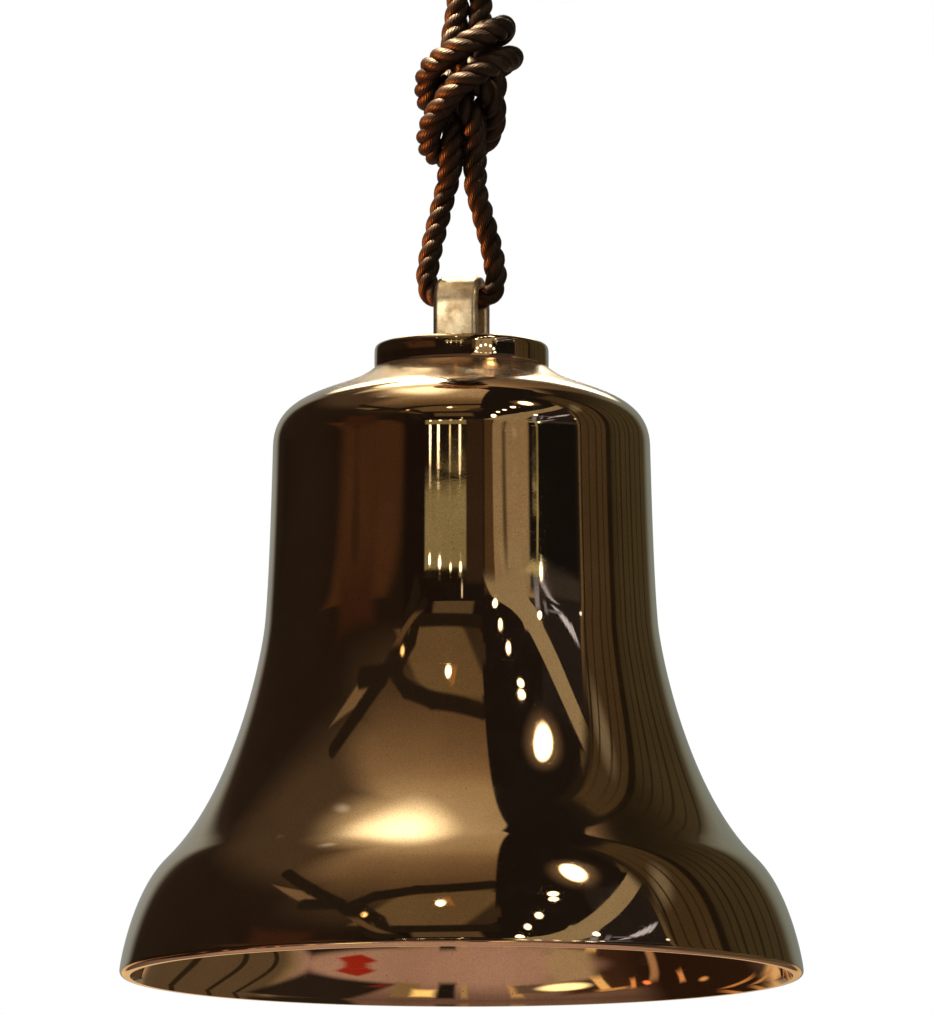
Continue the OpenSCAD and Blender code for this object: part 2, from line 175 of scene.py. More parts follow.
def in_knot(point):
    """A point of the knot in the row's frame."""
    angle, radius, height = point
    turn = math.radians(KNOT_TURN)
    a = math.radians(angle) + turn
    x = KNOT_X * math.cos(turn) + radius * math.sin(a)
    y = KNOT_X * math.sin(turn) - radius * math.cos(a)
    return Vector((x, y, RIM_Z + KNOT_Z + height))


def in_plane(point):
    """A point of the rope outside the knot, in the row's frame."""
    return Vector((point[0], 0, RIM_Z + point[1]))


def rope_route():
    """The given points of the rope, from the socket round the loop and back."""
    left = [in_plane(p) for p in ABOVE_LEFT] + [in_knot(p) for p in KNOT_LEFT]
    right = [in_knot(p) for p in reversed(KNOT_RIGHT)] + [in_plane(p) for p in reversed(ABOVE_RIGHT)]
    return left + [in_plane(p) for p in BELOW] + right


def smooth_route(points, step, fine=24):
    """Evenly spaced points on a Catmull-Rom curve through the given ones."""
    ends = [2 * points[0] - points[1]] + points + [2 * points[-1] - points[-2]]
    dense = []
    for a, b, c, d in zip(ends, ends[1:], ends[2:], ends[3:]):
        for i in range(fine):
            t = i / fine
            dense.append(0.5 * (2 * b + (c - a) * t + (2 * a - 5 * b + 4 * c - d) * t * t
                                + (3 * b - a - 3 * c + d) * t * t * t))
    dense.append(points[-1])
    lengths = [0.0]
    for a, b in zip(dense, dense[1:]):
        lengths.append(lengths[-1] + (b - a).length)
    count = round(lengths[-1] / step)
    even, k = [], 0
    for i in range(count + 1):
        target = lengths[-1] * i / count
        while k < len(dense) - 2 and lengths[k + 1] < target:
            k += 1
        part = (target - lengths[k]) / (lengths[k + 1] - lengths[k])
        even.append(dense[k].lerp(dense[k + 1], part))
    return even


def carried_frames(points, side=Vector((1, 0.2, 0))):
    """For each point, two directions square to the route and to each other, carried along without twist."""
    frames = []
    last = len(points) - 1
    for i in range(last + 1):
        heading = (points[min(i + 1, last)] - points[max(i - 1, 0)]).normalized()
        side = (side - side.dot(heading) * heading).normalized()
        frames.append((side, heading.cross(side)))
    return frames


def held(value):
    """The value, kept between 0 and 1."""
    return max(0.0, min(1.0, value))


def fullness(point):
    """The rope's thickness as a share of the usual: slack in the knot, pulled tight round the bell's loop."""
    from_knot = abs(point.z - RIM_Z - KNOT_Z) / KNOT_REACH
    from_loop = abs(point.z - RIM_Z - LOOP_Z) / LOOP_REACH
    return 1 + KNOT_SWELL * held(3 - 2.2 * from_knot) - LOOP_THINNING * held(2 - from_loop)


def strand_points(path, phase):
    """The middle line of one strand: a right-handed helix about the rope's middle line."""
    points = []
    for i, (middle, (side, other)) in enumerate(zip(path, carried_frames(path))):
        turn = phase + 2 * math.pi * i * ROPE_STEP / ROPE_LAY
        out = STRAND_ORBIT * fullness(middle)
        points.append(middle + out * (math.cos(turn) * side + math.sin(turn) * other))
    return points


def add_rope():
    """The rope as three strands laid up together, each a tube with the lie of its yarns in its UVs."""
    path = smooth_route(rope_route(), ROPE_STEP)
    verts, faces, uvs = [], [], []
    for strand in range(STRANDS):
        line = strand_points(path, 2 * math.pi * strand / STRANDS)
        base, travelled, rows = len(verts), 0.0, []
        for i, (point, (side, other)) in enumerate(zip(line, carried_frames(line))):
            travelled += (point - line[i - 1]).length if i else 0
            rows.append(travelled)
            radius = STRAND_RADIUS * fullness(path[i])
            for k in range(STRAND_SIDES):
                a = 2 * math.pi * k / STRAND_SIDES
                verts.append(point + radius * (math.cos(a) * side + math.sin(a) * other))
        for i in range(len(line) - 1):
            for k in range(STRAND_SIDES):
                n = (k + 1) % STRAND_SIDES
                faces.append([base + i * STRAND_SIDES + k, base + i * STRAND_SIDES + n,
                              base + (i + 1) * STRAND_SIDES + n, base + (i + 1) * STRAND_SIDES + k])
                for row, col in ((i, k), (i, k + 1), (i + 1, k + 1), (i + 1, k)):
                    uvs.append((col / STRAND_SIDES, rows[row] + strand))
        for row, order in ((0, -1), (len(line) - 1, 1)):
            cap = [base + row * STRAND_SIDES + k for k in range(STRAND_SIDES)][::order]
            faces.append(cap)
            uvs.extend([(0, rows[row] + strand)] * STRAND_SIDES)
    rope = add_mesh("rope_strands", verts, faces, uvs)
    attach(rope, "rope_sling")
    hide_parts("rope")
    return rope


# ---- bell and crown ----

def curve(a, slope_a, reach_a, b, slope_b, reach_b, steps=28):
    """A cubic curve between two (radius, height) points, without the last one. Slopes are in degrees from
    upright, going outward and down, as in part.scad, and reaches are how far each end's slope is felt."""
    def along(p, slope, reach):
        """The point at a reach from p, down the slope."""
        return (p[0] + reach * math.sin(math.radians(slope)), p[1] - reach * math.cos(math.radians(slope)))
    corners = (a, along(a, slope_a, reach_a), along(b, slope_b, -reach_b), b)
    points = []
    for i in range(steps):
        t = i / steps
        shares = ((1 - t) ** 3, 3 * (1 - t) ** 2 * t, 3 * (1 - t) * t * t, t ** 3)
        points.append(tuple(sum(w * c[k] for w, c in zip(shares, corners)) for k in (0, 1)))
    return points


# The bell's section, in millimetres: (radius, height above the rim) where its curves meet.
DISC_SEAT = (39, 269)
SHOULDER = (83.2, 235)
WAIST = (86.5, 156)
FLARE = (130, 51)
LIP = (150, 2.4)
BORE = 6.5
BORE_TOP = 269
BORE_LOW = 260.5
WALL = 4.6
BOW = 4.5
BOW_Z = 30
BOW_REACH = 20


def wall_thickness(height):
    """The wall's thickness, with the sound bow above the lip."""
    return WALL + BOW * math.exp(-((height - BOW_Z) / BOW_REACH) ** 2)


def bell_outline():
    """The bell's section, from the bore over the crown and down the outside, then up the inside."""
    crown = curve(DISC_SEAT, 49.5, 18.5, SHOULDER, 1.5, 24.5)
    side = (curve(SHOULDER, 1.5, 18, WAIST, 5.2, 20) + curve(WAIST, 5.2, 15, FLARE, 46, 41.5)
            + curve(FLARE, 46, 20, LIP, 0, 3) + [LIP])
    inner = []
    for i, point in enumerate(side):
        a, b = side[max(i - 1, 0)], side[min(i + 1, len(side) - 1)]
        size = math.hypot(b[0] - a[0], b[1] - a[1])
        thick = wall_thickness(point[1])
        inner.append((point[0] + thick * (b[1] - a[1]) / size, point[1] - thick * (b[0] - a[0]) / size))
    lip = arc((LIP[0] - LIP[1], LIP[1]), LIP[1], 0, -90, 10)[1:]
    inner_crown = curve((27, BORE_LOW), 87, 17, inner[0], 1.5, 17)
    return ([(BORE, BORE_TOP), (20, BORE_TOP)] + crown + side + lip + [(inner[-1][0] + 0.6, 0)] + inner[::-1]
            + inner_crown[::-1] + [(BORE, BORE_LOW)])


def add_bell():
    """The bell itself, in one piece with its crown and lip."""
    bell = lathe("bell_body", bell_outline(), segments=288)
    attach(bell, "bell")
    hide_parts("bell_shell")
    return bell


DISC_RADIUS = 38.5
DISC_LOW = 269.5
DISC_TOP = 280
DISC_BULGE = 0.005
DISC_ROUND = 2.2


def add_disc():
    """The disc on the crown: a slightly bulging side, eased below and rounded above."""
    barrel = [(DISC_RADIUS - DISC_BULGE * (h - 4) ** 2, DISC_LOW + h) for h in range(1, 9)]
    foot = [(0, DISC_LOW), (DISC_RADIUS - 0.7, DISC_LOW), (DISC_RADIUS - 0.2, DISC_LOW + 0.3)]
    shoulder = arc((DISC_RADIUS - 2.4, DISC_TOP - DISC_ROUND), DISC_ROUND, 12, 90, 9)
    outline = foot + barrel + shoulder + [(0, DISC_TOP)]
    disc = lathe("crown_boss", outline, segments=192, closed=False)
    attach(disc, "bell")
    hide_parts("crown_disc")
    return disc


# The strap's middle line is an arch of radius ARCH_MID on two upright legs.
STRAP_WIDTH = 20
STRAP_THICK = 5
ARCH_MID = 12
ARCH_Z = 296
ARCH_STEPS = 48
FOOT_Z = 273


def add_loop():
    """The crown's loop: a round-edged strap bent over an arch, with its feet let into the disc."""
    middle = [(-ARCH_MID, FOOT_Z), (-ARCH_MID, DISC_TOP)]
    turns = [math.pi * i / ARCH_STEPS for i in range(ARCH_STEPS + 1)]
    middle += [(-ARCH_MID * math.cos(a), ARCH_Z + ARCH_MID * math.sin(a)) for a in turns]
    middle += [(ARCH_MID, DISC_TOP), (ARCH_MID, FOOT_Z)]
    edge = STRAP_THICK / 2
    section = []
    for centre, start in ((STRAP_WIDTH / 2 - edge, -90), (edge - STRAP_WIDTH / 2, 90)):
        section += arc((centre, 0), edge, start, start + 180, 16)
    verts, faces = [], []
    for i, (y, z) in enumerate(middle):
        a, b = middle[max(i - 1, 0)], middle[min(i + 1, len(middle) - 1)]
        size = math.hypot(b[0] - a[0], b[1] - a[1])
        out = ((a[1] - b[1]) / size, (b[0] - a[0]) / size)
        for wide, thick in section:
            verts.append(above_rim(wide, y + thick * out[0], z + thick * out[1]))
    n = len(section)
    for i in range(len(middle) - 1):
        for k in range(n):
            j = (k + 1) % n
            faces.append([i * n + k, (i + 1) * n + k, (i + 1) * n + j, i * n + j])
    faces.append(list(range(n)))
    faces.append(list(range(len(verts) - 1, len(verts) - 1 - n, -1)))
    loop = add_mesh("crown_strap", verts, faces)
    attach(loop, "bell")
    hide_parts("crown_loop")
    return loop


# ---- shader helpers ----

class Tree:
    """Short names for adding and joining shader nodes."""

    def __init__(self, tree):
        self.tree = tree
        self.nodes = tree.nodes

    def add(self, kind, *inputs, **settings):
        """A node with its settings, and its first inputs set to numbers or joined to other outputs."""
        node = self.nodes.new("ShaderNode" + kind)
        names = {k: v for k, v in settings.items() if k[0].isupper()}
        for key, value in settings.items():
            if key not in names:
                setattr(node, key, value)
        for i, value in enumerate(inputs):
            self.put(node.inputs[i], value)
        for key, value in names.items():
            self.put(node.inputs[key.replace("_", " ")], value)
        return node

    def put(self, socket, value):
        """Joins a socket to a node or an output, or sets it to a number. None leaves it as it is."""
        if isinstance(value, bpy.types.Node):
            value = next(o for o in value.outputs if o.enabled)
        if isinstance(value, bpy.types.NodeSocket):
            self.tree.links.new(value, socket)
        elif value is not None:
            socket.default_value = value

    def math(self, operation, a, b=None, c=None):
        """A math node."""
        return self.add("Math", a, b, c, operation=operation)

    def ramp(self, value, stops):
        """A colour ramp from (place, three numbers) pairs."""
        node = self.add("ValToRGB", value)
        ramp = node.color_ramp
        while len(ramp.elements) < len(stops):
            ramp.elements.new(0.5)
        for element, (place, colour) in zip(ramp.elements, stops):
            element.position = place
            element.color = (*colour, 1)
        return node

    def span(self, value, low, high, to_low=0.0, to_high=1.0, smooth=True):
        """Maps low..high to to_low..to_high and holds it outside."""
        kind = "SMOOTHSTEP" if smooth else "LINEAR"
        return self.add("MapRange", value, low, high, to_low, to_high, interpolation_type=kind)

    def mix(self, share, a, b):
        """Mixes two colours, each an output or three numbers."""
        node = self.nodes.new("ShaderNodeMix")
        node.data_type = "RGBA"
        for socket, value in zip((node.inputs[0], node.inputs[6], node.inputs[7]), (share, a, b)):
            self.put(socket, (*value, 1) if isinstance(value, tuple) else value)
        return node.outputs[2]


def material(name):
    """A new material, its tree and its Principled shader."""
    made = bpy.data.materials.new(name)
    made.use_nodes = True
    tree = Tree(made.node_tree)
    return made, tree, tree.nodes["Principled BSDF"]


def set_material(piece, made):
    """Gives a piece its one material."""
    piece.data.materials.clear()
    piece.data.materials.append(made)


# ---- materials ----

# The crown's haze begins and is full at these heights.
HAZE_LOW = RIM_Z + 0.248
HAZE_TOP = RIM_Z + 0.262


def metal(name, light, dark, rough, smudge=0.05, grain=0.0, wave=0.0, tarnish=0.3, crown_haze=0.0,
          patch=14.0):
    """A worked metal: colour that drifts between two tones, roughness from smudges, specks and fine
    scratches, and a slight unevenness of the surface. tarnish is how far the tone drifts, patch how many
    blotches there are in a metre, grain and wave how deep the fine and the slow unevenness are, in
    millimetres, and crown_haze how much duller the bell gets at its top."""
    made, t, shader = material(name)
    place = t.add("TexCoord").outputs["Object"]
    broad = t.add("TexNoise", place, Scale=patch, Detail=4.0, Roughness=0.6)
    worn = tuple(a * (1 - tarnish) + b * tarnish for a, b in zip(light, dark))
    tone = t.ramp(t.span(broad, 0.35, 0.68), [(0, light), (1, worn)])
    spots = t.add("TexNoise", place, Scale=900.0, Detail=3.0, Roughness=0.7)
    specks = t.span(spots, 0.64, 0.72)
    fine = t.span(t.add("TexNoise", place, Scale=1500.0, Detail=3.0, Roughness=0.7), 0.40, 0.62, 0.0, 0.30)
    tone = t.mix(fine, tone, tuple(0.45 * a for a in light))
    t.put(shader.inputs["Base Color"], t.mix(specks, tone, dark))
    shader.inputs["Metallic"].default_value = 1.0
    cloudy = t.add("TexNoise", place, Scale=55.0, Detail=6.0, Roughness=0.65, Distortion=0.6)
    haze = t.math("MULTIPLY_ADD", t.span(cloudy, 0.45, 0.75), smudge, rough)
    scratch = t.add("TexNoise", t.add("Mapping", place, Scale=(60.0, 60.0, 2600.0), Rotation=(0.5, 0.3, 0.0)),
                    Scale=1.0, Detail=2.0)
    haze = t.math("MULTIPLY_ADD", t.span(scratch, 0.66, 0.74), smudge, haze)
    if crown_haze:
        level = t.add("SeparateXYZ", place).outputs[2]
        haze = t.math("ADD", haze, t.span(level, HAZE_LOW, HAZE_TOP, 0.0, crown_haze))
    t.put(shader.inputs["Roughness"], t.math("MULTIPLY_ADD", specks, 0.2, haze))
    height = t.math("MULTIPLY", t.add("TexNoise", place, Scale=1100.0, Detail=2.0), grain)
    slow = t.add("TexNoise", t.add("Mapping", place, Scale=(22.0, 22.0, 60.0)), Scale=1.0, Detail=2.0)
    height = t.math("MULTIPLY_ADD", slow, wave, height)
    ripple = t.add("TexNoise", place, Scale=260.0, Detail=1.0)
    height = t.math("MULTIPLY_ADD", ripple, 0.15 * wave, height)
    bump = t.add("Bump", Strength=1.0, Distance=0.001, Height=height)
    t.put(shader.inputs["Normal"], bump)
    return made


def rope_material():
    """Dark brown laid rope: yarns that lie along the rope, with painted shade in the grooves between them and
    a painted sheen, a lighter, warmer tone, on their raised tops.
    """
    made, t, shader = material("rope_fibre")
    uv = t.add("SeparateXYZ", t.add("UVMap", uv_map="UVMap"))
    place = t.add("TexCoord").outputs["Object"]
    lie = STRAND_ORBIT / (ROPE_LAY * STRAND_RADIUS)
    around = t.math("ADD", uv.outputs[0], t.math("MULTIPLY", uv.outputs[1], lie))
    stray = t.add("TexNoise", place, Scale=500.0, Detail=3.0)
    angle = t.math("MULTIPLY_ADD", around, 2 * math.pi * YARNS, t.math("MULTIPLY", stray, 3.0))
    yarn = t.span(t.math("SINE", angle), -1.0, 1.0, smooth=False)
    patch = t.add("TexNoise", place, Scale=70.0, Detail=5.0, Roughness=0.65)
    # Painted shade and sheen: the yarn stripes darken the colour in the grooves and lighten it on the yarns'
    # tops, which the same stripes raise in the bump. The patch noise is the rope's own uneven tone.
    tone = t.ramp(t.math("MULTIPLY_ADD", t.math("SUBTRACT", yarn, 0.5), 0.2, patch), [
        (0.25, (0.0015, 0.0008, 0.0005)),
        (0.5, (0.0045, 0.0021, 0.0012)),
        (0.75, (0.013, 0.006, 0.003))])
    t.put(shader.inputs["Base Color"], tone)
    shader.inputs["Roughness"].default_value = 0.44
    shader.inputs["Specular Tint"].default_value = (1.0, 0.78, 0.55, 1)
    shader.inputs["Specular IOR Level"].default_value = 0.3
    height = t.math("MULTIPLY_ADD", stray, 0.5, yarn)
    t.put(shader.inputs["Normal"], t.add("Bump", Strength=1.0, Distance=0.0001, Height=height))
    return made


def leather_material():
    """Brown leather with a pebbled grain, for the washers."""
    made, t, shader = material("washer_leather")
    place = t.add("TexCoord").outputs["Object"]
    grain = t.add("TexVoronoi", place, Scale=900.0)
    noise = t.add("TexNoise", place, Scale=120.0, Detail=5.0)
    tone = t.ramp(noise, [(0.3, (0.05, 0.022, 0.010)), (0.7, (0.12, 0.06, 0.03))])
    t.put(shader.inputs["Base Color"], tone)
    shader.inputs["Roughness"].default_value = 0.7
    t.put(shader.inputs["Normal"], t.add("Bump", Strength=0.6, Distance=0.0003, Height=grain))
    return made


# ---- studio ----

HALL_TURN = VIEW_SIDE


def panel_group():
    """A node group that says how far a direction is inside a slanted, soft-edged oval or box."""
    group = bpy.data.node_groups.new("panel", "ShaderNodeTree")
    names = ("Side", "Height", "At Side", "At Height", "Half Width", "Half Height", "Slant", "Soft", "Round")
    for name in names:
        group.interface.new_socket(name, in_out="INPUT", socket_type="NodeSocketFloat")
    group.interface.new_socket("Share", in_out="OUTPUT", socket_type="NodeSocketFloat")
    t = Tree(group)
    given = group.nodes.new("NodeGroupInput")
    made = group.nodes.new("NodeGroupOutput")
    side, height, at_side, at_height, wide, tall, slant, soft, rounded = (given.outputs[n] for n in names)
    up = t.math("SUBTRACT", height, at_height)
    over = t.math("SUBTRACT", t.math("SUBTRACT", side, at_side), t.math("MULTIPLY", up, slant))
    x = t.math("ABSOLUTE", t.math("DIVIDE", over, wide))
    y = t.math("ABSOLUTE", t.math("DIVIDE", up, tall))
    box = t.math("MAXIMUM", x, y)
    oval = t.math("SQRT", t.math("ADD", t.math("MULTIPLY", x, x), t.math("MULTIPLY", y, y)))
    edge = t.math("MULTIPLY_ADD", t.math("SUBTRACT", oval, box), rounded, box)
    share = t.add("MapRange", edge, t.math("ADD", 1.0, soft), t.math("SUBTRACT", 1.0, soft), 0.0, 1.0,
                  interpolation_type="SMOOTHSTEP")
    t.put(made.inputs["Share"], share)
    return group


# What the polished metal mirrors is a tone for each height, from straight down (0) to straight up (1), and
# then panels. Each panel is (side, height, half width, half height, slant, softness, round, colour), where
# side is degrees to the right of the camera, and height is degrees above the horizon. Later panels cover
# earlier ones, and the lists are laid down in the order GLOWS, VAULT, RIBS, OVERHEAD, HALL.
TONES = [
    (0.0, (0.62, 0.40, 0.34)), (0.27, (0.50, 0.325, 0.28)), (0.34, (0.27, 0.17, 0.14)),
    (0.41, (0.15, 0.09, 0.07)), (0.46, (0.08, 0.05, 0.035)), (0.52, (0.03, 0.02, 0.015)),
    (0.69, (0.06, 0.04, 0.025)), (0.75, (0.15, 0.095, 0.05)), (0.81, (0.215, 0.135, 0.072)),
    (0.845, (0.30, 0.19, 0.105)), (0.88, (0.50, 0.37, 0.20)), (0.92, (0.55, 0.44, 0.26)),
    (1.0, (0.45, 0.34, 0.19)),
]
VAULT = [
    # the vault's bright top and its dark far end on the left
    (-112, 40, 44, 23, 0.0, 0.3, 0, (0.088, 0.060, 0.038)),
    (-108, 20, 46, 20, 0.0, 0.35, 0, (0.026, 0.018, 0.013)),
    # what stands below the vault on the left
    (-50, 12, 42, 16, 0.0, 0.3, 0, (0.022, 0.014, 0.010)),
    (-58, 11.5, 22, 4.2, -2.5, 0.25, 0, (0.078, 0.036, 0.017)),
    (-66, 18, 12, 6, 0.0, 0.4, 0, (0.052, 0.022, 0.012)),
    (-67, 11.4, 3, 0.9, 0.0, 0.6, 1, (0.045, 0.022, 0.012)),
    (-9, 12, 26, 14, 0.0, 0.1, 0, (0.015, 0.010, 0.008)),
    # the black ceiling's near edge
    (34, 30, 21, 15, 1.72, 0.04, 0, (0.016, 0.012, 0.011)),
    # tan panels between the ribs
    (-62, 36.0, 10, 2.0, -4.5, 0.2, 0, (0.23, 0.155, 0.090)),
    (-11, 34.8, 20, 7.2, 1.3, 0.1, 0, (0.185, 0.128, 0.066)),
    (-5, 22.0, 12, 3.2, -0.2, 0.1, 0, (0.135, 0.098, 0.055)),
]
